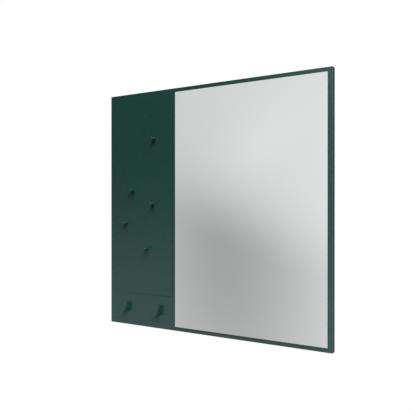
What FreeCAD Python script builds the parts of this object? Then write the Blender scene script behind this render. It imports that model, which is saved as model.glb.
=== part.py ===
"""Square wall mirror: a lacquered panel with a mirror, a magnet board with five magnets, and two hooks.

Lengths are in millimetres. X runs to the right, Y into the wall and Z up. The origin lies on the wall, in the
middle of the row of screw holes in the wall rail. Distances "out" are measured from the wall into the room.
"""
import FreeCAD
import Part
import Sketcher
import os
import re

# Driving dimensions, in millimetres
SIZES = {
    # lacquered panel
    "panel_width": 696,
    "panel_height": 696,
    "panel_thick": 16,
    "panel_round": 1,
    "panel_top": 110,
    "rim": 12,
    "divider": 12,
    # mirror, stuck to the front of the panel
    "glass_thick": 3,
    "glass_arris": 0.5,
    "film_thick": 0.2,
    "film_inset": 1.5,
    "mirror_tape_thick": 0.8,
    "mirror_tape_width": 25,
    "mirror_tape_inset": 12,
    # magnet board, stuck to the front of the panel above the hook field
    "board_width": 216,
    "hook_field": 97,
    "board_thick": 1,
    "board_tape_thick": 0.5,
    "board_tape_width": 20,
    "board_tape_inset": 8,
    # magnets: turned caps with a magnet disc let into the base
    "magnet_dia": 12,
    "magnet_length": 20,
    "magnet_round": 0.8,
    "core_dia": 9,
    "core_length": 6,
    "core_gap": 0.05,
    # place of each magnet on the board, from its lower left corner
    "magnet_1_across": 153.7,
    "magnet_1_up": 457.4,
    "magnet_2_across": 75,
    "magnet_2_up": 308.2,
    "magnet_3_across": 149.3,
    "magnet_3_up": 266.6,
    "magnet_4_across": 48.9,
    "magnet_4_up": 208.1,
    "magnet_5_across": 127.5,
    "magnet_5_up": 134.5,
    # hooks: stem, upright tongue and nose, screwed on from the back of the panel
    "hook_inset": 59.7,
    "hook_spacing": 119,
    "hook_rise": 43,
    "stem_dia": 12,
    "stem_length": 13,
    "tongue_width": 17,
    "tongue_rise": 24.5,
    "tongue_thick": 4.5,
    "tongue_round": 0.8,
    "nose_length": 4,
    "nose_round": 0.8,
    "hook_thread": 5,
    "hook_head_dia": 10,
    "hook_drive_size": 3.4,
    "hook_drive_depth": 1.8,
    "stud_bite": 6,
    "tip_gap": 1,
    "thread_gap": 0.05,
    "hole_play": 0.25,
    # wall rail and hanging rail: two profiles that hook into each other
    "wall_rail_length": 400,
    "hanging_rail_length": 460,
    "rail_thick": 2.5,
    "rail_flange": 24,
    "rail_lip": 10,
    "rail_play": 1,
    "rail_seat_gap": 0.5,
    "wall_hole_dia": 5.5,
    "wall_holes_outer": 340,
    "wall_holes_inner": 120,
    "rail_screw_margin": 30,
    # rubber bumpers at the foot of the panel
    "bumper_dia": 24,
    "bumper_round": 1,
    "bumper_inset": 60,
    "bumper_rise": 75,
    "bumper_recess": 3.6,
    # pan head wood screws for the hanging rail and the bumpers
    "screw_dia": 4,
    "screw_bite": 12,
    "screw_head_dia": 8,
    "screw_head_height": 2.4,
    "screw_drive_size": 3,
    "screw_drive_depth": 1.4,
}
MAGNETS = range(1, 6)
RAIL_SCREWS = 5
MIRROR_TAPES = 5
BOARD_TAPES = 3

# Places and sizes worked out from the driving dimensions
STANDOFF = "(2*rail_thick + 1.5*rail_play)"
FACE = f"({STANDOFF} + panel_thick)"
LEFT = "(-panel_width/2)"
BOTTOM = "(panel_top - panel_height)"
MIRROR_LEFT = f"({LEFT} + rim + board_width + divider)"
MIRROR_WIDTH = "(panel_width - 2*rim - board_width - divider)"
MIRROR_HEIGHT = "(panel_height - 2*rim)"
MIRROR_BOTTOM = f"({BOTTOM} + rim)"
BOARD_LEFT = f"({LEFT} + rim)"
BOARD_HEIGHT = "(panel_height - rim - hook_field)"
BOARD_BOTTOM = f"({BOTTOM} + hook_field)"
BOARD_FACE = f"({FACE} + board_tape_thick + board_thick)"
HOOK_HEIGHT = f"({BOTTOM} + hook_rise)"
HOOK_COUNTERSINK = "((hook_head_dia - hook_thread)/2)"
RAIL_DEPTH = "(2*rail_thick + rail_play)"
RAIL_CATCH = "(rail_lip + rail_seat_gap)"
RAIL_SCREW_UP = f"({RAIL_CATCH} + (rail_flange + rail_thick)/2)"
RAIL_SCREW_PITCH = f"((hanging_rail_length - 2*rail_screw_margin)/{RAIL_SCREWS - 1})"
BUMPER_ACROSS = "(panel_width/2 - bumper_inset)"
BUMPER_HEIGHT = f"({BOTTOM} + bumper_rise)"

# How a sketch numbers a line's points, its own two axes and its origin
START, END, CENTRE = range(1, 4)
H_AXIS, V_AXIS = range(-1, -3, -1)
ORIGIN_POINT = (H_AXIS, START)

doc = FreeCAD.newDocument("WallMirror")
sheet = doc.addObject("Spreadsheet::Sheet", "Sizes")
for row, (name, size) in enumerate(SIZES.items(), 1):
    sheet.set(f"A{row}", name)
    sheet.set(f"B{row}", str(size))
    sheet.setAlias(f"B{row}", name)
doc.recompute()

ALIASES = re.compile(r"\b(" + "|".join(SIZES) + r")\b")
pieces = []


def bind(item, field, formula):
    """Tie a field to a formula of the sheet's named sizes."""
    item.setExpression(field, ALIASES.sub(r"Sizes.\1", formula))


def place(item, across, out, up):
    """Put an object's own origin across the wall, out from it and up it."""
    bind(item, "Placement.Base.x", across)
    bind(item, "Placement.Base.y", f"-{out}")
    bind(item, "Placement.Base.z", up)


def new_piece(kind, label):
    """A sub-part, whose label names its file."""
    piece = doc.addObject(kind, label)
    piece.Label = label
    pieces.append(piece)
    return piece


def new_body(label, across, out, up):
    """An empty body whose back, nearest the wall, is in its own XZ plane."""
    body = new_piece("PartDesign::Body", label)
    place(body, across, out, up)
    return body


def attach(body, item, out="0"):
    """Lay a sketch or primitive on the body's back plane, facing the room, or further out."""
    back = [plane for plane in body.Origin.OriginFeatures if plane.Role == "XZ_Plane"]
    item.AttachmentSupport = [(back[0], "")]
    item.MapMode = "FlatFace"
    bind(item, "AttachmentOffset.Base.z", out)


def new_sketch(body, name, out="0"):
    """An empty sketch on the body's back plane, or further out."""
    sketch = body.newObject("Sketcher::SketchObject", f"{body.Name}_{name}_outline")
    attach(body, sketch, out)
    return sketch


def limit(sketch, kind, *ends_and_formula):
    """A dimension of a sketch, tied to a formula."""
    *ends, formula = ends_and_formula
    index = sketch.addConstraint(Sketcher.Constraint(kind, *ends, 1.0))
    bind(sketch, f"Constraints[{index}]", formula)


def pin(sketch, line, point, across, up):
    """Fix one point of a sketch at its distances from the sketch's origin."""
    for kind, axis, formula in (("DistanceX", V_AXIS, across), ("DistanceY", H_AXIS, up)):
        if formula == "0":
            sketch.addConstraint(Sketcher.Constraint("PointOnObject", line, point, axis))
        else:
            limit(sketch, kind, *ORIGIN_POINT, line, point, formula)


def circle(sketch, across, up, diameter):
    """A circle by its centre and diameter."""
    ring = sketch.addGeometry(Part.Circle(FreeCAD.Vector(1, 1, 0), FreeCAD.Vector(0, 0, 1), 1), False)
    pin(sketch, ring, CENTRE, across, up)
    limit(sketch, "Diameter", ring, diameter)


def rectangle(sketch, left, bottom, width, height):
    """A rectangle by its lower left corner, width and height."""
    corners = [FreeCAD.Vector(x, y, 0) for x, y in ((1, 1), (2, 1), (2, 2), (1, 2))]
    ends = corners[1:] + corners[:1]
    lines = [sketch.addGeometry(Part.LineSegment(a, b), False) for a, b in zip(corners, ends)]
    for line, following in zip(lines, lines[1:] + lines[:1]):
        sketch.addConstraint(Sketcher.Constraint("Coincident", line, END, following, START))
    for line, direction in zip(lines, ("Horizontal", "Vertical") * 2):
        sketch.addConstraint(Sketcher.Constraint(direction, line))
    pin(sketch, lines[0], START, left, bottom)
    limit(sketch, "DistanceX", lines[0], START, lines[0], END, width)
    limit(sketch, "DistanceY", lines[1], START, lines[1], END, height)


def upright_pill(sketch, radius, reach):
    """Two half circles joined by straight sides: the lower one about the origin, the upper one above it."""
    up = FreeCAD.Vector(0, 0, 1)
    low_ring = Part.Circle(FreeCAD.Vector(0, 0, 0), up, 1)
    high_ring = Part.Circle(FreeCAD.Vector(0, 2, 0), up, 1)
    half_turn = 3.14159265
    low = sketch.addGeometry(Part.ArcOfCircle(low_ring, half_turn, 2 * half_turn), False)
    right = sketch.addGeometry(Part.LineSegment(FreeCAD.Vector(1, 0, 0), FreeCAD.Vector(1, 2, 0)), False)
    high = sketch.addGeometry(Part.ArcOfCircle(high_ring, 0, half_turn), False)
    left = sketch.addGeometry(Part.LineSegment(FreeCAD.Vector(-1, 2, 0), FreeCAD.Vector(-1, 0, 0)), False)
    sketch.addConstraint(Sketcher.Constraint("Coincident", low, CENTRE, *ORIGIN_POINT))
    sketch.addConstraint(Sketcher.Constraint("PointOnObject", high, CENTRE, V_AXIS))
    outline = (low, right, high, left)
    for line, following in zip(outline, outline[1:] + outline[:1]):
        sketch.addConstraint(Sketcher.Constraint("Tangent", line, END, following, START))
    sketch.addConstraint(Sketcher.Constraint("Equal", low, high))
    limit(sketch, "Radius", low, radius)
    limit(sketch, "DistanceY", *ORIGIN_POINT, high, CENTRE, f"{reach} - {radius}")


def pad(body, sketch, thickness):
    """Thicken a sketch into the room."""
    feature = body.newObject("PartDesign::Pad", f"{sketch.Name}_pad")
    feature.Profile = sketch
    bind(feature, "Length", thickness)
    doc.recompute()


def cut(body, sketch, depth):
    """Cut a sketch out of the body, into the room."""
    before = body.Tip.Shape.Volume
    feature = body.newObject("PartDesign::Pocket", f"{sketch.Name}_cut")
    feature.Profile = sketch
    feature.Reversed = True
    bind(feature, "Length", depth)
    doc.recompute()
    if feature.Shape.Volume >= before:
        raise RuntimeError(f"{sketch.Name} cuts nothing")


def plate(body, name, left, bottom, width, height, out, thickness):
    """A flat rectangular block, set out from the body's back."""
    sketch = new_sketch(body, name, out)
    rectangle(sketch, left, bottom, width, height)
    pad(body, sketch, thickness)


def rod(body, name, diameter, length, out="0"):
    """A round rod about the body's own axis, pointing into the room."""
    sketch = new_sketch(body, name, out)
    circle(sketch, "0", "0", diameter)
    pad(body, sketch, length)


def holes(body, name, centres, diameter, depth):
    """Round holes from the body's back, all of one diameter."""
    sketch = new_sketch(body, name)
    for across, up in centres:
        circle(sketch, across, up, diameter)
    cut(body, sketch, depth)


def primitive(body, kind, name, across="0", up="0", **fields):
    """An added or removed basic solid that stands on the body's back and points into the room."""
    feature = body.newObject(f"PartDesign::{kind}", f"{body.Name}_{name}")
    attach(body, feature)
    bind(feature, "AttachmentOffset.Base.x", across)
    bind(feature, "AttachmentOffset.Base.y", up)
    for field, formula in fields.items():
        bind(feature, field, formula)
    doc.recompute()
    return feature


def dress_edges(body, kind, field, size, sides):
    """Round or chamfer the edges that lie flat in the front or back plane of the body."""
    base = body.Tip
    box = base.Shape.BoundBox
    levels = {"front": box.YMin, "back": box.YMax}
    nearby = 0.001
    names = []
    for number, edge in enumerate(base.Shape.Edges, 1):
        flat = edge.BoundBox.YLength < nearby
        if flat and any(abs(edge.BoundBox.YMin - levels[side]) < nearby for side in sides):
            names.append(f"Edge{number}")
    feature = body.newObject(f"PartDesign::{kind}", f"{body.Name}_{kind.lower()}")
    feature.Base = (base, names)
    bind(feature, field, size)
    doc.recompute()


def hook_places():
    """The two hooks' names and their distances from the panel's left edge."""
    return (("left", "hook_inset"), ("right", "(hook_inset + hook_spacing)"))


def rail_screw_place(number):
    """Distance of a hanging rail screw from the middle of the rail."""
    return f"(rail_screw_margin + {number}*{RAIL_SCREW_PITCH} - hanging_rail_length/2)"


def make_panel():
    """Lacquered board with a rounded front rim, hook screw holes and pilot holes in its back."""
    body = new_body("panel", LEFT, STANDOFF, BOTTOM)
    plate(body, "board", "0", "0", "panel_width", "panel_height", "0", "panel_thick")
    dress_edges(body, "Fillet", "Radius", "panel_round", ["front"])
    hooks = [(across, "hook_rise") for side, across in hook_places()]
    holes(body, "hook_hole", hooks, "(hook_thread + 2*hole_play)", "panel_thick")
    for side, across in hook_places():
        primitive(body, "SubtractiveCone", f"{side}_countersink", across, "hook_rise",
                  Radius1="(hook_head_dia/2 + hole_play)", Radius2="(hook_thread/2 + hole_play)",
                  Height=HOOK_COUNTERSINK)
    rail_height = f"(rail_flange/2 + {RAIL_SCREW_UP} - {BOTTOM})"
    pilots = [(f"(panel_width/2 + {rail_screw_place(n)})", rail_height) for n in range(RAIL_SCREWS)]
    pilots += [(f"(panel_width/2 + {sign}*{BUMPER_ACROSS})", "bumper_rise") for sign in (-1, 1)]
    holes(body, "pilot_hole", pilots, "(screw_dia + 2*thread_gap)", "(screw_bite + tip_gap)")


def make_tapes(label, count, left, bottom, width, height, trade):
    """Upright strips of double-sided tape, spread evenly over a width."""
    inset, strip, thick = (f"{trade}_tape_{size}" for size in ("inset", "width", "thick"))
    strips = []
    for number in range(count):
        tape = doc.addObject("Part::Box", f"{label}_{number + 1}")
        bind(tape, "Length", strip)
        bind(tape, "Width", thick)
        bind(tape, "Height", f"{height} - 2*{inset}")
        step = f"({width} - 2*{inset} - {strip})/{count - 1}"
        place(tape, f"{left} + {inset} + {number}*{step}", f"({FACE} + {thick})", f"{bottom} + {inset}")
        strips.append(tape)
    new_piece("Part::Compound", label).Links = strips


def make_mirror():
    """Mirror glass with a fine arris, its safety film and its tapes."""
    film_out = f"({FACE} + mirror_tape_thick)"
    glass = new_body("mirror_glass", MIRROR_LEFT, f"({film_out} + film_thick)", MIRROR_BOTTOM)
    plate(glass, "pane", "0", "0", MIRROR_WIDTH, MIRROR_HEIGHT, "0", "glass_thick")
    dress_edges(glass, "Chamfer", "Size", "glass_arris", ["front"])
    film = new_body("mirror_film", MIRROR_LEFT, film_out, MIRROR_BOTTOM)
    plate(film, "sheet", "film_inset", "film_inset", f"{MIRROR_WIDTH} - 2*film_inset",
          f"{MIRROR_HEIGHT} - 2*film_inset", "0", "film_thick")
    make_tapes("mirror_tape", MIRROR_TAPES, MIRROR_LEFT, MIRROR_BOTTOM, MIRROR_WIDTH, MIRROR_HEIGHT, "mirror")


def make_magnet_board():
    """Thin steel sheet and its tapes."""
    sheet_out = f"({FACE} + board_tape_thick)"
    board = new_body("magnet_board", BOARD_LEFT, sheet_out, BOARD_BOTTOM)
    plate(board, "sheet", "0", "0", "board_width", BOARD_HEIGHT, "0", "board_thick")
    make_tapes("board_tape", BOARD_TAPES, BOARD_LEFT, BOARD_BOTTOM, "board_width", BOARD_HEIGHT, "board")


def make_magnet(number):
    """Turned cap and the magnet disc in its base, both seated on the board."""
    across = f"({BOARD_LEFT} + magnet_{number}_across)"
    up = f"({BOARD_BOTTOM} + magnet_{number}_up)"
    cap = new_body(f"magnet_{number}", across, BOARD_FACE, up)
    rod(cap, "cap", "magnet_dia", "magnet_length")
    dress_edges(cap, "Fillet", "Radius", "magnet_round", ["front"])
    holes(cap, "recess", [("0", "0")], "(core_dia + 2*core_gap)", "core_length")
    core = new_body(f"magnet_{number}_core", across, BOARD_FACE, up)
    rod(core, "disc", "core_dia", "core_length")


def make_hook(side, inset):
    """Stem, tongue, nose with its stud, and the countersunk screw from the back of the panel."""
    across = f"({LEFT} + {inset})"
    tongue_out = f"({FACE} + stem_length)"
    stem = new_body(f"{side}_hook_stem", across, FACE, HOOK_HEIGHT)
    rod(stem, "sleeve", "stem_dia", "stem_length")
    holes(stem, "thread", [("0", "0")], "(hook_thread + 2*thread_gap)", "stem_length")
    tongue = new_body(f"{side}_hook_tongue", across, tongue_out, HOOK_HEIGHT)
    sketch = new_sketch(tongue, "pill")
    upright_pill(sketch, "(tongue_width/2)", "tongue_rise")
    pad(tongue, sketch, "tongue_thick")
    dress_edges(tongue, "Fillet", "Radius", "tongue_round", ["front", "back"])
    holes(tongue, "stud_hole", [("0", "0")], "(hook_thread + 2*hole_play)", "tongue_thick")
    nose = new_body(f"{side}_hook_nose", across, f"({tongue_out} + tongue_thick)", HOOK_HEIGHT)
    rod(nose, "knob", "stem_dia", "nose_length")
    dress_edges(nose, "Fillet", "Radius", "nose_round", ["front"])
    stud = "(tongue_thick + stud_bite)"
    rod(nose, "stud", "hook_thread", stud, f"-{stud}")
    screw = new_body(f"{side}_hook_screw", across, STANDOFF, HOOK_HEIGHT)
    primitive(screw, "AdditiveCone", "head", Radius1="hook_head_dia/2", Radius2="hook_thread/2",
              Height=HOOK_COUNTERSINK)
    primitive(screw, "AdditiveCylinder", "shank", Radius="hook_thread/2",
              Height="(panel_thick + stem_length - stud_bite - tip_gap)")
    primitive(screw, "SubtractivePrism", "drive", Circumradius="hook_drive_size/2",
              Height="hook_drive_depth").Polygon = 6
    doc.recompute()


def make_wall_rail():
    """Profile on the wall with a lip that points up, and its row of screw holes."""
    rail = new_body("wall_rail", "(-wall_rail_length/2)", "0", "(-rail_flange/2)")
    plate(rail, "flange", "0", "0", "wall_rail_length", "rail_flange", "0", "rail_thick")
    plate(rail, "web", "0", "(rail_flange - rail_thick)", "wall_rail_length", "rail_thick", "0", RAIL_DEPTH)
    plate(rail, "lip", "0", "rail_flange", "wall_rail_length", "rail_lip", "(rail_thick + rail_play)", "rail_thick")
    row = [f"(wall_rail_length {sign} {spacing})/2" for spacing in ("wall_holes_outer", "wall_holes_inner")
           for sign in "-+"]
    holes(rail, "wall_hole", [(across, "rail_flange/2") for across in row], "wall_hole_dia", "rail_thick")


def make_hanging_rail():
    """Profile on the panel's back with a lip that points down, behind the wall rail's lip."""
    rail = new_body("hanging_rail", "(-hanging_rail_length/2)", "0", "(rail_flange/2)")
    lip_out = "(rail_play/2)"
    length = "hanging_rail_length"
    plate(rail, "lip", "0", "0", length, RAIL_CATCH, lip_out, "rail_thick")
    plate(rail, "web", "0", RAIL_CATCH, length, "rail_thick", lip_out, RAIL_DEPTH)
    plate(rail, "flange", "0", RAIL_CATCH, length, "rail_flange", f"({STANDOFF} - rail_thick)", "rail_thick")
    row = [f"({rail_screw_place(n)} + hanging_rail_length/2)" for n in range(RAIL_SCREWS)]
    holes(rail, "screw_hole", [(across, RAIL_SCREW_UP) for across in row], "(screw_dia + 2*hole_play)", STANDOFF)
    make_screws("hanging_rail_screws", [rail_screw_place(n) for n in range(RAIL_SCREWS)],
                f"({STANDOFF} - rail_thick)", f"(rail_flange/2 + {RAIL_SCREW_UP})")


def make_screws(label, places, seat, up):
    """Pan head wood screws from the wall side into the panel; seat is where the heads bear, out from the wall."""
    screws = []
    towards_room = FreeCAD.Rotation(FreeCAD.Vector(1, 0, 0), 90)
    head_out = f"({seat} - screw_head_height)"

    def part(kind, name, across, out, **fields):
        item = doc.addObject(kind, name)
        item.Placement.Rotation = towards_room
        place(item, across, out, up)
        for field, formula in fields.items():
            bind(item, field, formula)
        return item

    for number, across in enumerate(places, 1):
        name = f"{label}_{number}"
        head = part("Part::Cylinder", f"{name}_head", across, head_out, Radius="screw_head_dia/2",
                    Height="screw_head_height")
        shank = part("Part::Cylinder", f"{name}_shank", across, seat, Radius="screw_dia/2",
                     Height=f"{STANDOFF} - {seat} + screw_bite")
        drive = part("Part::Prism", f"{name}_drive", across, head_out, Circumradius="screw_drive_size/2",
                     Height="screw_drive_depth")
        drive.Polygon = 6
        blank = doc.addObject("Part::Fuse", f"{name}_blank")
        blank.Base, blank.Tool = head, shank
        screw = doc.addObject("Part::Cut", name)
        screw.Base, screw.Tool = blank, drive
        screws.append(screw)
    new_piece("Part::Compound", label).Links = screws


def make_bumpers():
    """Rubber bumpers that keep the foot of the panel as far off the wall as the rails do."""
    places = {"left": f"(-{BUMPER_ACROSS})", "right": BUMPER_ACROSS}
    for side, across in places.items():
        bumper = new_body(f"{side}_bumper", across, "0", BUMPER_HEIGHT)
        rod(bumper, "pad", "bumper_dia", STANDOFF)
        dress_edges(bumper, "Fillet", "Radius", "bumper_round", ["back"])
        holes(bumper, "screw_hole", [("0", "0")], "(screw_dia + 2*hole_play)", STANDOFF)
        holes(bumper, "head_recess", [("0", "0")], "(screw_head_dia + 2*hole_play)", "bumper_recess")
    make_screws("bumper_screws", list(places.values()), "bumper_recess", BUMPER_HEIGHT)


def check_and_write():
    """Stop on any failed object or shape, then write each piece to its own file."""
    doc.recompute()
    failed = [item.Name for item in doc.Objects if {"Invalid", "Error"} & set(item.State)]
    failed += [piece.Label for piece in pieces if piece.Shape.isNull() or not piece.Shape.isValid()]
    if failed:
        raise RuntimeError(f"failed objects: {failed}")
    os.makedirs("parts", exist_ok=True)
    for piece in pieces:
        piece.Shape.exportStep(os.path.join("parts", f"{piece.Label}.step"))
        print(f"{piece.Label}: {len(piece.Shape.Solids)} solid, {piece.Shape.Volume / 1000:.2f} cm3")


make_panel()
make_mirror()
make_magnet_board()
for magnet in MAGNETS:
    make_magnet(magnet)
for hook_side, hook_across in hook_places():
    make_hook(hook_side, hook_across)
make_wall_rail()
make_hanging_rail()
make_bumpers()
check_and_write()
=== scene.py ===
"""Looks of a square wall mirror: panel, mirror glass, magnet board, magnets, hooks and hanging rails.

Lengths are in metres in the solids' own frame: X to the right, Y into the wall and Z up, with the origin on
the wall in the middle of the row of wall screws. Distances out from the wall run along -Y.
"""
import math

import bmesh
import bpy
import numpy as np
from bpy.props import FloatProperty, FloatVectorProperty, PointerProperty
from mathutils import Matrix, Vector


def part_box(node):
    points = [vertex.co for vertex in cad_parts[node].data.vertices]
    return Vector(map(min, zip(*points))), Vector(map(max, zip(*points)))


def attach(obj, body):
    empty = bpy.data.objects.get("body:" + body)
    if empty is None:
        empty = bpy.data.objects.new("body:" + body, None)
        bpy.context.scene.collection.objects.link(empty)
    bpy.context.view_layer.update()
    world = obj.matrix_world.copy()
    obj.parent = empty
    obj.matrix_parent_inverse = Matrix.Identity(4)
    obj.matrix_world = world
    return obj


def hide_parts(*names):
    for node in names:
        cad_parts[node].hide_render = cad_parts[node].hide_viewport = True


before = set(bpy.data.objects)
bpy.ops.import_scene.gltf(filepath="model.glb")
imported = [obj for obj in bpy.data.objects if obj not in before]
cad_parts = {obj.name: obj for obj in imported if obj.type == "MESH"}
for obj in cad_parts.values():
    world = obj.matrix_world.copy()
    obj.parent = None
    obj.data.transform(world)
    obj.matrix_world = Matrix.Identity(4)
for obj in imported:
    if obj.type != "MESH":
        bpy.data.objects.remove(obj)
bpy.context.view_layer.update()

bl_info = {
    "name": "Wall Mirror",
    "version": (1, 0, 0),
    "blender": (4, 5, 0),
    "location": "View3D > Sidebar > Wall Mirror",
    "description": "Builds the panel, glass, magnet board, magnets, hooks and fixings of a wall mirror",
    "category": "Add Mesh",
}

MAGNETS = [f"magnet_{number}" for number in range(1, 6)]
HOOKS = ["left", "right"]
ARRIS = "arris"
MILLI = 0.001
SHARP = math.radians(32)


def length(name, description, millimetres):
    """A length property, given in millimetres and kept in metres."""
    return FloatProperty(name=name, description=description, default=millimetres * MILLI, min=0.0,
                         precision=5, unit="LENGTH", subtype="DISTANCE")


def colour(name, description, *default):
    """A colour property in linear red, green and blue."""
    return FloatVectorProperty(name=name, description=description, default=default, min=0.0, max=1.0,
                               size=3, subtype="COLOR")


def share(name, description, default):
    """A property between nothing and all."""
    return FloatProperty(name=name, description=description, default=default, min=0.0, max=1.0,
                         subtype="FACTOR")


class LacquerSettings(bpy.types.PropertyGroup):
    """Satin lacquer of the panel, the magnet board, the magnets and the hooks."""
    tone: colour("Lacquer", "Colour of the lacquer", 0.0122, 0.047, 0.0388)
    gloss: share("Roughness", "Roughness of the satin surface", 0.27)
    peel: length("Orange peel", "Width of the fine ripples in the sprayed surface", 1.6)


class PanelSettings(bpy.types.PropertyGroup):
    """Lacquered fibreboard panel."""
    front_round: length("Front round", "Radius of the arris round the front", 1.0)
    back_round: length("Back round", "Radius of the arris round the back", 0.4)
    corner: length("Corner", "Radius of the four upright corners", 1.0)
    sink_radius: length("Countersink", "Radius of the hook screws' countersinks at the back", 5.25)
    hole_radius: length("Hole", "Radius of the hook screws' holes", 2.75)


class MirrorSettings(bpy.types.PropertyGroup):
    """Silvered float glass."""
    arris: length("Arris", "Width of the polished arris round the front", 0.5)
    corner: length("Corner", "Radius of the dubbed corners", 0.8)
    silver: colour("Silver", "Colour of the silvered face", 0.874, 0.889, 0.887)
    edge: colour("Edge", "Colour of the polished edge", 0.30, 0.42, 0.38)


class BoardSettings(bpy.types.PropertyGroup):
    """Lacquered steel sheet."""
    edge_round: length("Edge round", "Radius of the sheet's deburred edges", 0.2)
    corner: length("Corner", "Radius of the sheet's corners", 0.6)


class MagnetSettings(bpy.types.PropertyGroup):
    """Turned magnet caps."""
    front_round: length("Front round", "Radius of the arris round the front", 0.8)
    base_round: length("Base round", "Radius of the arris round the base", 0.3)


class HookSettings(bpy.types.PropertyGroup):
    """Peg hooks: stem, tongue and nose."""
    stem_round: length("Stem round", "Radius of the arrises of the stem", 0.2)
    bore_radius: length("Bore", "Radius of the stem's threaded bore", 2.55)
    tongue_round: length("Tongue round", "Radius of the arrises of the tongue", 0.8)
    stud_hole_radius: length("Stud hole", "Radius of the tongue's hole for the nose's stud", 2.75)
    stud_radius: length("Stud", "Radius of the nose's stud", 2.5)
    nose_round: length("Nose round", "Radius of the arris round the nose", 0.8)


class FixingSettings(bpy.types.PropertyGroup):
    """Rails, screws, bumpers, tapes, safety film and magnet discs."""
    bumper_round: length("Bumper round", "Radius of the arris on the wall side", 1.0)
    bumper_recess_radius: length("Recess", "Radius of the bumper's recess for a screw head", 4.25)
    bumper_recess_depth: length("Recess depth", "Depth of the bumper's recess", 3.6)
    bumper_hole_radius: length("Bumper hole", "Radius of the bumper's screw hole", 2.25)
    aluminium: colour("Aluminium", "Colour of the rails", 0.62, 0.63, 0.64)
    zinc: colour("Zinc", "Colour of the screws", 0.52, 0.53, 0.52)
    nickel: colour("Nickel", "Colour of the magnet discs", 0.64, 0.63, 0.60)
    rubber: colour("Rubber", "Colour of the bumpers", 0.018, 0.018, 0.019)
    foam: colour("Foam", "Colour of the double-sided tapes", 0.72, 0.73, 0.71)
    film: colour("Film", "Colour of the safety film", 0.26, 0.28, 0.29)


class StageSettings(bpy.types.PropertyGroup):
    """Camera, lamps, surroundings and floor."""
    camera_place: FloatVectorProperty(name="Camera", description="Place of the camera", size=3,
                                      default=(0.705, -1.2402, -0.2311), subtype="TRANSLATION", unit="LENGTH")
    camera_turn: FloatVectorProperty(name="Camera turn", description="Turn of the camera about X, Y and Z",
                                     size=3, default=(math.radians(89.9), 0.0, math.radians(30.105)),
                                     subtype="EULER")
    lens: FloatProperty(name="Lens", description="Focal length of the camera", default=44.12, unit="CAMERA")
    key_power: FloatProperty(name="Key lamp", description="Power of the large soft lamp high in front",
                             default=2580.0, unit="POWER")
    side_power: FloatProperty(name="Side lamp", description="Power of the tall soft lamp at the right",
                              default=0.36, unit="POWER")
    backdrop_level: share("Backdrop", "Level of the light from behind", 0.9)
    floor_drop: length("Floor drop", "Distance of the floor below the panel", 1150.0)
    floor_radius: length("Floor radius", "Radius of the pale floor", 1500.0)
    floor_tone: colour("Floor", "Colour of the floor", 0.84, 0.84, 0.83)


class WallMirrorSettings(bpy.types.PropertyGroup):
    """All settings of the wall mirror."""
    lacquer: PointerProperty(type=LacquerSettings)
    panel: PointerProperty(type=PanelSettings)
    mirror: PointerProperty(type=MirrorSettings)
    board: PointerProperty(type=BoardSettings)
    magnets: PointerProperty(type=MagnetSettings)
    hooks: PointerProperty(type=HookSettings)
    fixings: PointerProperty(type=FixingSettings)
    stage: PointerProperty(type=StageSettings)


# Shapes: every new piece is a stack of rings along Y

THIN = 0.02 * MILLI
SUPPORT = 0.3 * MILLI
FINE_ROUND = 0.1 * MILLI
SMALL_ROUND = 0.2 * MILLI
SMALL_ROUND_STEPS = 3
ROUND_STEPS = 6
CIRCLE_STEPS = 16
CORNER_STEPS = 4


def edge_profile(thickness, back_round, front_round, back_steps=ROUND_STEPS, front_steps=ROUND_STEPS):
    """Inset, distance out and arris share of a slab's edge, from its back face round its side to its front.

    An arris is a quarter circle: the inset is the radius less the radius times the sine of an angle, and the
    distance from the face is the radius less the radius times its cosine. One flat step lies inside each
    arris.
    """
    def quarter(radius, steps):
        angle = np.linspace(0, np.pi / 2, steps + 1)
        inset = np.append(radius + SUPPORT, radius - radius * np.sin(angle))
        rise = np.append(0, radius - radius * np.cos(angle))
        return inset, rise

    back_inset, back_rise = quarter(back_round, back_steps)
    front_inset, front_rise = quarter(front_round, front_steps)
    inset = np.concatenate([back_inset, front_inset[::-1]])
    out = np.concatenate([back_rise, thickness - front_rise[::-1]])
    # Share of each ring that lies on an arris: the lacquer paints a lighter highlight there.
    arris_highlight = np.ones(len(inset))
    arris_highlight[[0, 1, -2, -1]] = 0
    return inset, out, arris_highlight


def rings(centre, half, corner, inset, depth, arris_highlight=0.0):
    """Rows of a ring stack: one rounded rectangle, drawn in by each inset, at each depth along Y."""
    inset, depth, arris_highlight = np.broadcast_arrays(inset, depth, arris_highlight)
    whole = np.ones(inset.shape)
    round_left = np.maximum(corner - inset, THIN)
    middle = [part * whole for part in centre]
    sides = [part - inset for part in half]
    return np.stack([*middle, *sides, round_left, depth, arris_highlight], 1)


def circles(centre, radius, depth, arris_highlight=0.0):
    """Rows of a ring stack: circles of each radius at each depth along Y."""
    return rings(centre, (0, 0), 0, -np.asarray(radius, float), np.asarray(depth, float), arris_highlight)


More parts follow.
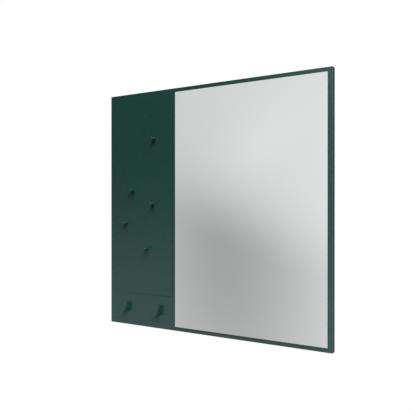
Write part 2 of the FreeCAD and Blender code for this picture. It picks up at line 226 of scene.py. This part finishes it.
def ring_stack(name, rows, steps, closed=False):
    """Mesh of rings laid one after another along Y.

    A ring is a rounded rectangle: a point is the centre, plus the half sizes less the corner radius towards
    its own corner, plus the corner radius times the unit circle at the middle of each angle step. Four-sided
    faces join each ring to the next. The first and last ring are closed flat, or joined to each other.
    """
    centre_x, centre_z, half_x, half_z, corner, depth, arris_highlight = np.asarray(rows, float).T[:, :, None]
    angle = (np.arange(4 * steps) + 0.5) * np.pi / (2 * steps)
    cosine, sine = np.cos(angle), np.sin(angle)
    x = centre_x + np.sign(cosine) * (half_x - corner) + cosine * corner
    z = centre_z + np.sign(sine) * (half_z - corner) + sine * corner
    points = np.stack([x, depth + 0 * x, z], -1).reshape(-1, 3)
    index = np.arange(len(points)).reshape(len(rows), -1)
    around = np.concatenate([index, index[:, :1]], 1)
    if closed:
        around = np.concatenate([around, around[:1]])
    quads = np.stack([around[:-1, :-1], around[:-1, 1:], around[1:, 1:], around[1:, :-1]], -1).reshape(-1, 4)
    caps = [] if closed else [index[0, ::-1].tolist(), index[-1].tolist()]
    mesh = bpy.data.meshes.new(name)
    mesh.from_pydata(points.tolist(), [], quads.tolist() + caps)
    # The arris share goes into an attribute, where the lacquer paints its highlight.
    shares = mesh.attributes.new(ARRIS, "FLOAT", "POINT")
    shares.data.foreach_set("value", np.repeat(arris_highlight.ravel(), 4 * steps))
    return finish_mesh(mesh)


def finish_mesh(mesh):
    """Turn the faces outwards and shade the rounds smooth between sharp edges."""
    shell = bmesh.new()
    shell.from_mesh(mesh)
    bmesh.ops.recalc_face_normals(shell, faces=shell.faces)
    shell.to_mesh(mesh)
    shell.free()
    mesh.shade_smooth()
    mesh.set_sharp_from_angle(angle=SHARP)
    mesh.update()
    return mesh


def box(*nodes):
    """Middle, half size, and the back and front depth along Y of the box round some solids."""
    corners = np.array([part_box(node) for node in nodes])
    low, high = corners[:, 0].min(0), corners[:, 1].max(0)
    middle, half = (low + high) / 2, (high - low) / 2
    return middle[[0, 2]], half[[0, 2]], high[1], low[1]


def add_piece(name, mesh, body, slot, nodes, *materials):
    """Put a mesh into the scene as a piece that rides on a body and stands for some solids."""
    piece = bpy.data.objects.new(name, mesh)
    bpy.context.scene.collection.objects.link(piece)
    for material in materials:
        mesh.materials.append(material)
    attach(piece, body)
    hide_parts(*nodes)
    return piece


def carve(piece, cutter_meshes):
    """Cut closed meshes out of a piece and keep the result as its own mesh."""
    cutters = []
    for mesh in cutter_meshes:
        cutter = bpy.data.objects.new(mesh.name, mesh)
        bpy.context.scene.collection.objects.link(cutter)
        cut = piece.modifiers.new(mesh.name, "BOOLEAN")
        cut.operation = "DIFFERENCE"
        cut.solver = "EXACT"
        cut.object = cutter
        cutters.append(cutter)
    bpy.context.view_layer.update()
    carved = bpy.data.meshes.new_from_object(piece.evaluated_get(bpy.context.evaluated_depsgraph_get()))
    if len(carved.polygons) <= len(piece.data.polygons):
        raise RuntimeError(f"{piece.name} was not carved")
    piece.modifiers.clear()
    piece.data = carved
    carved.name = piece.name
    for cutter in cutters:
        bpy.data.objects.remove(cutter)
    carved.set_sharp_from_angle(angle=SHARP)


# Finishes: shader maths written as expressions

class Value:
    """A node's output. Arithmetic on it adds Math nodes to its tree."""

    def __init__(self, tree, socket):
        self.tree = tree
        self.socket = socket

    def output(self, name):
        """Another output of the same node."""
        return Value(self.tree, self.socket.node.outputs[name])

    def __add__(self, other):
        return self.tree.maths("ADD", self, other)

    def __radd__(self, other):
        return self.tree.maths("ADD", other, self)

    def __sub__(self, other):
        return self.tree.maths("SUBTRACT", self, other)

    def __rsub__(self, other):
        return self.tree.maths("SUBTRACT", other, self)

    def __mul__(self, other):
        return self.tree.maths("MULTIPLY", self, other)

    def __rmul__(self, other):
        return self.tree.maths("MULTIPLY", other, self)

    def __truediv__(self, other):
        return self.tree.maths("DIVIDE", self, other)

    def __neg__(self):
        return self.tree.maths("MULTIPLY", self, -1.0)


class Finish:
    """The nodes of one material or of the surroundings."""

    def __init__(self, owner):
        owner.use_nodes = True
        self.owner = owner
        self.nodes = owner.node_tree.nodes
        self.links = owner.node_tree.links
        self.nodes.clear()

    def node(self, kind, settings=None, sockets=None, output=0):
        """Add a node, set its settings, then the values or links of its sockets, and give one output."""
        made = self.nodes.new(f"ShaderNode{kind}")
        for name, setting in (settings or {}).items():
            setattr(made, name, setting)
        for name, value in (sockets or {}).items():
            if isinstance(value, Value):
                self.links.new(value.socket, made.inputs[name])
            else:
                made.inputs[name].default_value = value
        return Value(self, made.outputs[output]) if made.outputs else None

    def maths(self, operation, *numbers):
        """One Math node."""
        return self.node("Math", {"operation": operation}, dict(enumerate(numbers)))

    def mix(self, part, first, second):
        """A colour between two colours."""
        tones = [tone if isinstance(tone, Value) else (*tone, 1.0) for tone in (first, second)]
        return self.node("Mix", {"data_type": "RGBA"}, {0: part, 6: tones[0], 7: tones[1]}, 2)

    def vary(self, part, tone, start, end):
        """A colour that goes from one shade of a tone to another."""
        return self.mix(part, shade(tone, start), shade(tone, end))

    def waver(self, middle, part, by):
        """A value that goes up and down about its middle."""
        return middle + by * (part - 0.5)

    def step(self, value, start, end):
        """Nothing at start and all at end, with a smooth rise between them."""
        return self.node("MapRange", {"interpolation_type": "SMOOTHSTEP"},
                         {"Value": value, "From Min": start, "From Max": end, "To Min": 0.0, "To Max": 1.0})

    def place(self, stretch=(1.0, 1.0, 1.0)):
        """The point on the piece, in metres, drawn out along the axes."""
        here = self.node("TexCoord", output="Object")
        return self.node("Mapping", {"vector_type": "POINT"}, {"Vector": here, "Scale": stretch})

    def noise(self, place, size, detail=2.0):
        """Soft noise with patches about as wide as a size, between nothing and all."""
        return self.node("TexNoise", {"noise_dimensions": "3D"},
                         {"Vector": place, "Scale": 1.0 / size, "Detail": detail, "Roughness": 0.5})

    def surface(self, height=None, distance=0.0, **sockets):
        """The shader, with its bump from a height, joined to the output."""
        named = {name.replace("_", " "): value for name, value in sockets.items()}
        if height is not None:
            named["Normal"] = self.node("Bump", {}, {"Strength": 1.0, "Distance": distance, "Height": height})
        shader = self.node("BsdfPrincipled", {}, named)
        self.node("OutputMaterial", {}, {"Surface": shader})
        return self.owner


def shade(tone, factor):
    """A colour made lighter or darker."""
    return tuple(min(1.0, part * factor) for part in tone)


def new_finish(name):
    """An empty material's nodes."""
    return Finish(bpy.data.materials.new(name))


def lacquer(settings):
    """Satin lacquer: a slow drift of its tone, arrises painted lighter as a highlight and made glossier, and
    a fine orange peel.
    """
    found = bpy.data.materials.get("satin_lacquer")
    if found:
        return found
    finish = new_finish("satin_lacquer")
    place = finish.place()
    drift = finish.noise(place, size=0.12, detail=3.0)
    peel = finish.noise(place, settings.peel, detail=1.0)
    arris_highlight = finish.node("Attribute", {"attribute_name": ARRIS}, output="Fac")
    highlight_share, highlight_lift, arris_gloss = 0.6, 1.5, 0.04
    tone = finish.vary(drift, settings.tone, start=0.97, end=1.03)
    # Painted highlight: the arrises are mixed part way towards a lighter shade of the lacquer, and their
    # roughness is lowered.
    tone = finish.mix(arris_highlight * highlight_share, tone, shade(settings.tone, highlight_lift))
    cloud = finish.noise(place, size=0.03, detail=4.0)
    gloss = finish.waver(settings.gloss, cloud, by=0.05) - arris_gloss * arris_highlight
    return finish.surface(peel, distance=0.003 * MILLI, Base_Color=tone, Roughness=gloss, IOR=1.5,
                          Specular_Tint=(0.88, 0.98, 1.0, 1.0))


def silver(settings):
    """Silvered glass face: a clear metal reflection with the faintest clouds in its tone."""
    finish = new_finish("silvered_glass")
    haze = finish.noise(finish.place(stretch=(1.0, 1.0, 0.35)), size=0.05, detail=4.0)
    tone = finish.vary(haze, settings.silver, start=1.0, end=0.985)
    return finish.surface(Base_Color=tone, Roughness=0.0, Metallic=1.0, IOR=1.52)


def glass_edge(settings):
    """Polished edge of float glass: pale green, with fine marks of the grinding wheel along it."""
    finish = new_finish("polished_glass_edge")
    marks = finish.noise(finish.place(stretch=(0.05, 1.0, 0.05)), size=0.15 * MILLI)
    tone = finish.vary(marks, settings.edge, start=0.8, end=1.25)
    return finish.surface(marks, distance=0.004 * MILLI, Base_Color=tone, Roughness=0.10 + 0.08 * marks,
                          IOR=1.52)


def brushed_metal(name, tone, grain, roughness):
    """Metal with fine lines drawn out along X."""
    finish = new_finish(name)
    lines = finish.noise(finish.place(stretch=(0.02, 1.0, 1.0)), grain, detail=3.0)
    patches = finish.noise(finish.place(), size=0.02, detail=3.0)
    mixed = finish.vary(0.6 * lines + 0.4 * patches, tone, start=0.88, end=1.1)
    return finish.surface(lines, distance=0.01 * MILLI, Base_Color=mixed, Metallic=1.0,
                          Roughness=finish.waver(roughness, lines, by=0.16))


def plated_metal(name, tone, roughness):
    """Plated metal with faint clouds in its tone and gloss."""
    finish = new_finish(name)
    clouds = finish.noise(finish.place(), size=1.5 * MILLI, detail=4.0)
    mixed = finish.vary(clouds, tone, start=0.8, end=1.15)
    return finish.surface(clouds, distance=0.004 * MILLI, Base_Color=mixed, Metallic=1.0,
                          Roughness=finish.waver(roughness, clouds, by=0.14))


def moulded(name, tone, grain, depth, roughness):
    """Matt moulded surface with a fine grain in its tone and height."""
    finish = new_finish(name)
    speckle = finish.noise(finish.place(), grain, detail=3.0)
    mixed = finish.vary(speckle, tone, start=0.7, end=1.3)
    gloss = finish.waver(roughness, speckle, by=0.1)
    return finish.surface(speckle, depth, Base_Color=mixed, Roughness=gloss, IOR=1.5)


def foam(name, tone):
    """Foam tape with open cells."""
    finish = new_finish(name)
    cell_size = 0.35 * MILLI
    place = finish.place()
    cells = finish.node("TexVoronoi", {"feature": "F1"}, {"Vector": place, "Scale": 1.0 / cell_size})
    mixed = finish.vary(cells, tone, start=0.75, end=1.0)
    return finish.surface(cells, distance=0.08 * MILLI, Base_Color=mixed, Roughness=0.8 + 0.1 * cells,
                          IOR=1.45)


def woven_film(name, tone):
    """Film with a woven scrim: two crossed waves."""
    finish = new_finish(name)
    place = finish.place()
    threads = [finish.node("TexWave", {"wave_type": "BANDS", "bands_direction": axis},
                           {"Vector": place, "Scale": 200.0, "Distortion": 0.4}, 1) for axis in "XZ"]
    weave = threads[0] * threads[1]
    mixed = finish.vary(weave, tone, start=0.8, end=1.15)
    return finish.surface(weave, distance=0.05 * MILLI, Base_Color=mixed, Roughness=0.55 + 0.15 * weave,
                          IOR=1.5)


def dress(material, *nodes):
    """Give carried-over solids a material."""
    for node in nodes:
        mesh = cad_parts[node].data
        mesh.materials.clear()
        mesh.materials.append(material)


# Pieces

def make_panel(settings):
    """Panel: a slab with a rounded front arris, and the hook screws' countersinks in its back."""
    size = settings.panel
    centre, half, back, front = box("panel")
    inset, out, arris_highlight = edge_profile(back - front, size.back_round, size.front_round)
    mesh = ring_stack("panel_board", rings(centre, half, size.corner, inset, back - out, arris_highlight), CORNER_STEPS)
    piece = add_piece("panel_board", mesh, "mirror", "lacquered_panel", ["panel"], lacquer(settings.lacquer))
    over = 1.0 * MILLI
    hole_share = 0.8
    cone = size.sink_radius - size.hole_radius
    radius = [size.sink_radius + over, size.hole_radius, size.hole_radius]
    depth = [back + over, back - cone, back - hole_share * (back - front)]
    cutters = []
    for side in HOOKS:
        middle = box(f"{side}_hook_stem")[0]
        cutters.append(ring_stack(f"{side}_countersink", circles(middle, radius, depth), CIRCLE_STEPS))
    carve(piece, cutters)


def make_mirror(settings):
    """Mirror: a slab of glass with a flat polished arris; its front face is silvered."""
    size = settings.mirror
    centre, half, back, front = box("mirror_glass")
    inset, out, _ = edge_profile(back - front, FINE_ROUND, size.arris, front_steps=1)
    mesh = ring_stack("mirror_pane", rings(centre, half, size.corner, inset, back - out), CORNER_STEPS)
    flat = np.zeros(len(mesh.polygons) * 3)
    mesh.polygons.foreach_get("normal", flat)
    square_on = 0.999
    faces_room = flat.reshape(-1, 3)[:, 1] < -square_on
    mesh.polygons.foreach_set("material_index", np.where(faces_room, 0, 1).astype(np.int32))
    add_piece("mirror_pane", mesh, "mirror", "mirror", ["mirror_glass"], silver(size), glass_edge(size))


def make_magnet_board(settings):
    """Magnet board: a thin sheet with deburred edges."""
    size = settings.board
    centre, half, back, front = box("magnet_board")
    steps = SMALL_ROUND_STEPS
    inset, out, arris_highlight = edge_profile(back - front, size.edge_round, size.edge_round, steps, steps)
    mesh = ring_stack("magnet_sheet", rings(centre, half, size.corner, inset, back - out, arris_highlight), CORNER_STEPS)
    add_piece("magnet_sheet", mesh, "mirror", "lacquered_sheet", ["magnet_board"], lacquer(settings.lacquer))


def make_magnets(settings):
    """Magnets: turned caps with rounded arrises and a recess in the base for the magnet disc."""
    size = settings.magnets
    disc_gap = 0.05 * MILLI
    for magnet in MAGNETS:
        centre, half, back, front = box(magnet)
        disc_half, disc_front = box(f"{magnet}_core")[1::2]
        inset, out, arris_highlight = edge_profile(back - front, size.base_round, size.front_round)
        recess_radius = disc_half[0] + disc_gap
        recess = circles(centre, [recess_radius, recess_radius], [disc_front, back])
        cap = rings(centre, half, half[0], inset, back - out, arris_highlight)
        mesh = ring_stack(f"{magnet}_cap", np.concatenate([recess, cap]), CIRCLE_STEPS)
        add_piece(f"{magnet}_cap", mesh, magnet, "lacquered_metal", [magnet], lacquer(settings.lacquer))


def make_hooks(settings):
    """Hooks: a bored stem, an upright pill-shaped tongue with a stud hole, and a nose with its stud."""
    size = settings.hooks
    steps = SMALL_ROUND_STEPS
    for side in HOOKS:
        axis, stem_half, stem_back, stem_front = box(f"{side}_hook_stem")
        stem_long = stem_back - stem_front
        inset, out, arris_highlight = edge_profile(stem_long, size.stem_round, size.stem_round, steps, steps)
        sleeve = rings(axis, stem_half, stem_half[0], inset, stem_back - out, arris_highlight)
        bore = circles(axis, [size.bore_radius] * 2, [stem_front, stem_back])
        stem = ring_stack(f"{side}_peg_stem", np.concatenate([sleeve, bore]), CIRCLE_STEPS, closed=True)

        middle, half, back, front = box(f"{side}_hook_tongue")
        inset, out, arris_highlight = edge_profile(back - front, size.tongue_round, size.tongue_round)
        pill = rings(middle, half, half[0], inset, back - out, arris_highlight)
        hole = circles(axis, [size.stud_hole_radius] * 2, [front, back])
        tongue = ring_stack(f"{side}_peg_tongue", np.concatenate([pill, hole]), CIRCLE_STEPS, closed=True)

        _, half, stud_end, tip = box(f"{side}_hook_nose")
        inset, out, arris_highlight = edge_profile(front - tip, FINE_ROUND, size.nose_round)
        stud = circles(axis, [size.stud_radius] * 2, [stud_end, front])
        knob = rings(axis, half, half[0], inset, front - out, arris_highlight)
        nose = ring_stack(f"{side}_peg_nose", np.concatenate([stud, knob]), CIRCLE_STEPS)

        for part, mesh in (("stem", stem), ("tongue", tongue), ("nose", nose)):
            add_piece(mesh.name, mesh, "mirror", "lacquered_metal", [f"{side}_hook_{part}"],
                      lacquer(settings.lacquer))


def make_fixings(settings):
    """Fixings: turned rubber bumpers, and finishes for the rails, screws, tapes, film and magnet discs."""
    size = settings.fixings
    rubber = moulded("black_rubber", size.rubber, grain=0.25 * MILLI, depth=0.02 * MILLI, roughness=0.62)
    for side in HOOKS:
        centre, half, back, front = box(f"{side}_bumper")
        inset, out, _ = edge_profile(back - front, size.bumper_round, SMALL_ROUND)
        pad = rings(centre, half, half[0], inset, back - out)
        floor = back - size.bumper_recess_depth
        radius = [size.bumper_hole_radius] * 2 + [size.bumper_recess_radius] * 2
        hollow = circles(centre, radius, [front, floor, floor, back])
        mesh = ring_stack(f"{side}_rubber_bumper", np.concatenate([pad, hollow]), CIRCLE_STEPS, closed=True)
        add_piece(mesh.name, mesh, "mirror", "bumper", [f"{side}_bumper"], rubber)
    aluminium = brushed_metal("mill_aluminium", size.aluminium, grain=0.6 * MILLI, roughness=0.34)
    dress(aluminium, "wall_rail", "hanging_rail")
    zinc = plated_metal("bright_zinc", size.zinc, roughness=0.30)
    dress(zinc, "hanging_rail_screws", "bumper_screws", *[f"{side}_hook_screw" for side in HOOKS])
    nickel = plated_metal("nickel_plate", size.nickel, roughness=0.20)
    dress(nickel, *[f"{magnet}_core" for magnet in MAGNETS])
    dress(foam("white_foam_tape", size.foam), "mirror_tape", "board_tape")
    dress(woven_film("woven_safety_film", size.film), "mirror_film")


# Stage: levels of light, and angles in degrees to the left of and up from straight out of the glass

SENSOR_WIDTH = 36.0
MIRROR_SHARE = 0.885
WALL_LEVEL, WALL_FADE_LEFT, WALL_FADE_UP, WALL_EVEN_TO = 0.868, 0.0068, 0.0013, 8.0
PATCH_DEPTH, PATCH_LEFT, PATCH_UP, PATCH_TILT = 0.315, 27.4, -5.17, 0.411
PATCH_ABOVE, PATCH_BELOW, PATCH_BEYOND, PATCH_BEFORE = 4.52, 17.4, 6.52, 8.75
GLOW_LEVEL, GLOW_LEFT, GLOW_UP, GLOW_TILT = 0.041, 24.1, 7.4, -0.49
GLOW_WIDTH, GLOW_HEIGHT = 3.108, 2.594
RIGHT_LEVEL, LOW_BAND_LEVEL, CEILING_LEVEL = 1.36, 0.99, 1.6
RIGHT_START, LOW_END = (17.0, 9.0), (-50.0, -36.0)
LOW_BAND_TOP = (3.0, -11.0)
CEILING_SIDE, CEILING_FOOT = (29.0, 17.0), (11.8, 17.8)
BEHIND_LEVEL, BEHIND_LOW_LEVEL, LOW_LEFT_LEVEL, FAR_WALL_LEVEL = 0.07, 0.14, 0.7, 0.55
BEHIND_LOW_TOP = (5.0, -14.0)
LOW_LEFT_START, LOW_LEFT_TOP = (60.0, 90.0), (-12.0, -25.0)
FAR_LEFT_START = (110.0, 140.0)
FAR_RIGHT_START, FAR_RIGHT_END = (-95.0, -110.0), (-150.0, -135.0)
FAR_WALL_TOP, FAR_WALL_FOOT = (28.0, 18.0), (-40.0, -30.0)
FRONT_SHARE, BACKDROP_SHARE = (0.05, -0.15), (0.0, 0.35)
KEY_SIZE, KEY_PLACE, KEY_TARGET = (13.4, 9.1), (3.55, -7.62, 8.31), (0.0, 0.0, -0.25)
SIDE_SIZE, SIDE_PLACE, SIDE_TARGET = (0.1, 1.3), (0.45, -0.22, -0.24), (0.3, 0.0, -0.24)
FLOOR_RINGS, FLOOR_STEPS = 24, 96
FLOOR_INNER = 0.05
FLOOR_FADE = (0.25, 0.98)


def bell(finish, *parts):
    """All at the middle and less outwards: the exponential of minus half the sum of the parts' squares."""
    return finish.maths("EXPONENT", -0.5 * sum(part * part for part in parts))


def mirrored_wall(finish, left, up):
    """Pale wall in front: it fades to the left, with a faint glow above and a soft tilted grey patch below.

    Its level is divided by the share of light that the silver gives back. The patch fades at a rate of its
    own above and below, and beyond and before its middle.
    """
    wall = WALL_LEVEL - WALL_FADE_LEFT * finish.maths("MAXIMUM", left, WALL_EVEN_TO) - WALL_FADE_UP * up
    beside = left - PATCH_LEFT
    height = up - PATCH_UP - PATCH_TILT * beside
    patch = bell(finish, finish.maths("MAXIMUM", height, 0.0) / PATCH_ABOVE,
                 finish.maths("MINIMUM", height, 0.0) / PATCH_BELOW,
                 finish.maths("MAXIMUM", beside, 0.0) / PATCH_BEYOND,
                 finish.maths("MINIMUM", beside, 0.0) / PATCH_BEFORE)
    across = left - GLOW_LEFT
    rise = up - GLOW_UP - GLOW_TILT * across
    glow = bell(finish, across / GLOW_WIDTH, rise / GLOW_HEIGHT)
    return (wall + GLOW_LEVEL * glow - PATCH_DEPTH * patch) / MIRROR_SHARE


def dim_room(finish, left, up, y):
    """Room seen by satin surfaces.

    In front: a pale band low down, light walls to the right and a light ceiling at the upper right. Behind:
    a pale band low at the left, and a far wall with a dark gap at the right.
    """
    low_end = finish.step(up, *LOW_END)
    right = finish.step(left, *RIGHT_START)
    low_band = finish.step(up, *LOW_BAND_TOP) * low_end
    ceiling = finish.step(left, *CEILING_SIDE) * finish.step(up, *CEILING_FOOT)
    before = RIGHT_LEVEL * right + LOW_BAND_LEVEL * low_band * (1.0 - right) + CEILING_LEVEL * ceiling

    low_left = finish.step(left, *LOW_LEFT_START) * finish.step(up, *LOW_LEFT_TOP) * low_end
    far_left = finish.step(left, *FAR_LEFT_START)
    far_right = finish.step(left, *FAR_RIGHT_END) * finish.step(left, *FAR_RIGHT_START)
    far_height = finish.step(up, *FAR_WALL_TOP) * finish.step(up, *FAR_WALL_FOOT)
    far_wall = (far_left + far_right) * far_height
    behind = BEHIND_LEVEL + BEHIND_LOW_LEVEL * finish.step(up, *BEHIND_LOW_TOP)
    behind = behind + LOW_LEFT_LEVEL * low_left + FAR_WALL_LEVEL * far_wall
    return behind + finish.step(y, *FRONT_SHARE) * (before - behind)


def make_surroundings(settings):
    """Soft studio round the part.

    The camera sees plain white, the mirror a pale wall, and satin surfaces a dim room. Matt surfaces get
    light from a white backdrop behind.
    """
    world = bpy.data.worlds.new("soft_studio")
    finish = Finish(world)
    world.cycles.sampling_method = "NONE"
    heading = finish.node("SeparateXYZ", {}, {"Vector": finish.node("TexCoord", output="Generated")})
    x, y, z = (heading.output(axis) for axis in "XYZ")
    degrees = math.degrees(1.0)
    left = degrees * finish.maths("ARCTAN2", -x, -y)
    up = degrees * finish.maths("ARCSINE", z)
    mirrored = mirrored_wall(finish, left, up)
    room = dim_room(finish, left, up, y)
    matt = settings.backdrop_level * finish.step(y, *BACKDROP_SHARE)

    ray = finish.node("LightPath", output="Is Camera Ray")
    seen = finish.maths("MAXIMUM", ray, ray.output("Is Transmission Ray"))
    shown = matt + ray.output("Is Glossy Ray") * (room - matt)
    shown = shown + ray.output("Is Singular Ray") * (mirrored - shown)
    shown = shown + seen * (1.0 - shown)
    grey = finish.node("CombineColor", {}, {"Red": shown, "Green": shown, "Blue": shown})
    light = finish.node("Background", {}, {"Color": grey, "Strength": 1.0})
    finish.node("OutputWorld", {}, {"Surface": light})
    bpy.context.scene.world = world


def make_lamp(name, power, size, place, target):
    """A soft lamp of a width and a height at a place, turned to a target. No surface mirrors it."""
    lamp = bpy.data.lights.new(name, "AREA")
    lamp.energy = power
    lamp.shape = "RECTANGLE"
    lamp.size, lamp.size_y = size
    holder = bpy.data.objects.new(name, lamp)
    bpy.context.scene.collection.objects.link(holder)
    holder.location = place
    heading = np.subtract(target, place)
    holder.rotation_euler = (math.atan2(math.hypot(heading[0], heading[1]), -heading[2]), 0.0,
                             math.atan2(heading[1], heading[0]) - math.pi / 2)
    holder.visible_glossy = False
    holder.visible_camera = False


def make_floor(settings):
    """Pale round floor: rings of radius by angle, fading into the white surroundings at its rim."""
    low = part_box("panel")[0]
    level = low[2] - settings.floor_drop
    radius = np.linspace(FLOOR_INNER, 1.0, FLOOR_RINGS)[:, None] * settings.floor_radius
    angle = np.arange(FLOOR_STEPS) * 2 * np.pi / FLOOR_STEPS
    x, y = radius * np.cos(angle), radius * np.sin(angle)
    points = np.stack([x, y, level + 0 * x], -1).reshape(-1, 3)
    index = np.arange(len(points)).reshape(FLOOR_RINGS, FLOOR_STEPS)
    around = np.concatenate([index, index[:, :1]], 1)
    quads = np.stack([around[:-1, :-1], around[1:, :-1], around[1:, 1:], around[:-1, 1:]], -1).reshape(-1, 4)
    mesh = bpy.data.meshes.new("pale_floor")
    mesh.from_pydata(points.tolist(), [], quads.tolist() + [index[0].tolist()])
    floor = bpy.data.objects.new("pale_floor", mesh)
    bpy.context.scene.collection.objects.link(floor)
    floor.visible_diffuse = False
    floor.visible_glossy = False

    finish = new_finish("pale_floor")
    place = finish.place(stretch=(1.0, 1.0, 0.0))
    out = finish.node("VectorMath", {"operation": "LENGTH"}, {"Vector": place}, 1)
    mottle = finish.noise(place, size=0.2, detail=3.0)
    tone = finish.vary(mottle, settings.floor_tone, start=0.99, end=1.01)
    matt = finish.node("BsdfDiffuse", {}, {"Color": tone})
    white = finish.node("Emission", {}, {"Color": (1.0, 1.0, 1.0, 1.0), "Strength": 1.0})
    fade = finish.step(out, *[part * settings.floor_radius for part in FLOOR_FADE])
    ray = finish.node("LightPath", output="Is Camera Ray")
    surface = finish.node("MixShader", {}, {0: fade * ray, 1: matt, 2: white})
    finish.node("OutputMaterial", {}, {"Surface": surface})
    mesh.materials.append(finish.owner)


def make_camera(settings):
    """Camera at the photograph's place and angle."""
    view = bpy.data.cameras.new("camera")
    view.lens = settings.lens
    view.sensor_width = SENSOR_WIDTH
    camera = bpy.data.objects.new("camera", view)
    bpy.context.scene.collection.objects.link(camera)
    camera.location = settings.camera_place
    camera.rotation_euler = settings.camera_turn
    bpy.context.scene.camera = camera


def make_stage(settings):
    """Camera, surroundings, lamps and floor."""
    stage = settings.stage
    make_camera(stage)
    make_surroundings(stage)
    make_lamp("key_lamp", stage.key_power, KEY_SIZE, KEY_PLACE, KEY_TARGET)
    make_lamp("side_lamp", stage.side_power, SIDE_SIZE, SIDE_PLACE, SIDE_TARGET)
    make_floor(stage)
    bpy.context.scene.view_settings.view_transform = "Standard"


# Operators and sidebar

class MakePanel(bpy.types.Operator):
    """Build the lacquered panel"""
    bl_idname = "wall_mirror.panel"
    bl_label = "Panel"

    def execute(self, context):
        make_panel(context.scene.wall_mirror)
        return {"FINISHED"}


class MakeMirror(bpy.types.Operator):
    """Build the mirror glass"""
    bl_idname = "wall_mirror.mirror"
    bl_label = "Mirror"

    def execute(self, context):
        make_mirror(context.scene.wall_mirror)
        return {"FINISHED"}


class MakeMagnetBoard(bpy.types.Operator):
    """Build the magnet board"""
    bl_idname = "wall_mirror.magnet_board"
    bl_label = "Magnet Board"

    def execute(self, context):
        make_magnet_board(context.scene.wall_mirror)
        return {"FINISHED"}


class MakeMagnets(bpy.types.Operator):
    """Build the five magnets"""
    bl_idname = "wall_mirror.magnets"
    bl_label = "Magnets"

    def execute(self, context):
        make_magnets(context.scene.wall_mirror)
        return {"FINISHED"}


class MakeHooks(bpy.types.Operator):
    """Build the two peg hooks"""
    bl_idname = "wall_mirror.hooks"
    bl_label = "Hooks"

    def execute(self, context):
        make_hooks(context.scene.wall_mirror)
        return {"FINISHED"}


class MakeFixings(bpy.types.Operator):
    """Build the bumpers and finish the rails, screws, tapes, film and magnet discs"""
    bl_idname = "wall_mirror.fixings"
    bl_label = "Fixings"

    def execute(self, context):
        make_fixings(context.scene.wall_mirror)
        return {"FINISHED"}


class MakeStage(bpy.types.Operator):
    """Set up the camera, the lamps, the surroundings and the floor"""
    bl_idname = "wall_mirror.stage"
    bl_label = "Stage"

    def execute(self, context):
        make_stage(context.scene.wall_mirror)
        return {"FINISHED"}


OPERATORS = [MakePanel, MakeMirror, MakeMagnetBoard, MakeMagnets, MakeHooks, MakeFixings, MakeStage]


class WallMirrorPanel(bpy.types.Panel):
    """Sidebar with the settings and the steps of the wall mirror"""
    bl_idname = "VIEW3D_PT_wall_mirror"
    bl_label = "Wall Mirror"
    bl_space_type = "VIEW_3D"
    bl_region_type = "UI"
    bl_category = "Wall Mirror"

    def draw(self, context):
        settings = context.scene.wall_mirror
        for operator in OPERATORS:
            self.layout.operator(operator.bl_idname)
        for name in WallMirrorSettings.__annotations__:
            group = getattr(settings, name)
            column = self.layout.box().column()
            column.label(text=name.capitalize())
            for field in group.__annotations__:
                column.prop(group, field)


CLASSES = [LacquerSettings, PanelSettings, MirrorSettings, BoardSettings, MagnetSettings, HookSettings,
           FixingSettings, StageSettings, WallMirrorSettings, *OPERATORS, WallMirrorPanel]


def register():
    """Make the settings, operators and sidebar known."""
    for item in CLASSES:
        bpy.utils.register_class(item)
    bpy.types.Scene.wall_mirror = PointerProperty(type=WallMirrorSettings)


def unregister():
    """Take the settings, operators and sidebar away again."""
    del bpy.types.Scene.wall_mirror
    for item in reversed(CLASSES):
        bpy.utils.unregister_class(item)


def main():
    """Build every piece and the stage in order."""
    register()
    for operator in OPERATORS:
        group, step = operator.bl_idname.split(".")
        getattr(getattr(bpy.ops, group), step)()
    bpy.context.view_layer.update()


if __name__ == "__main__":
    main()
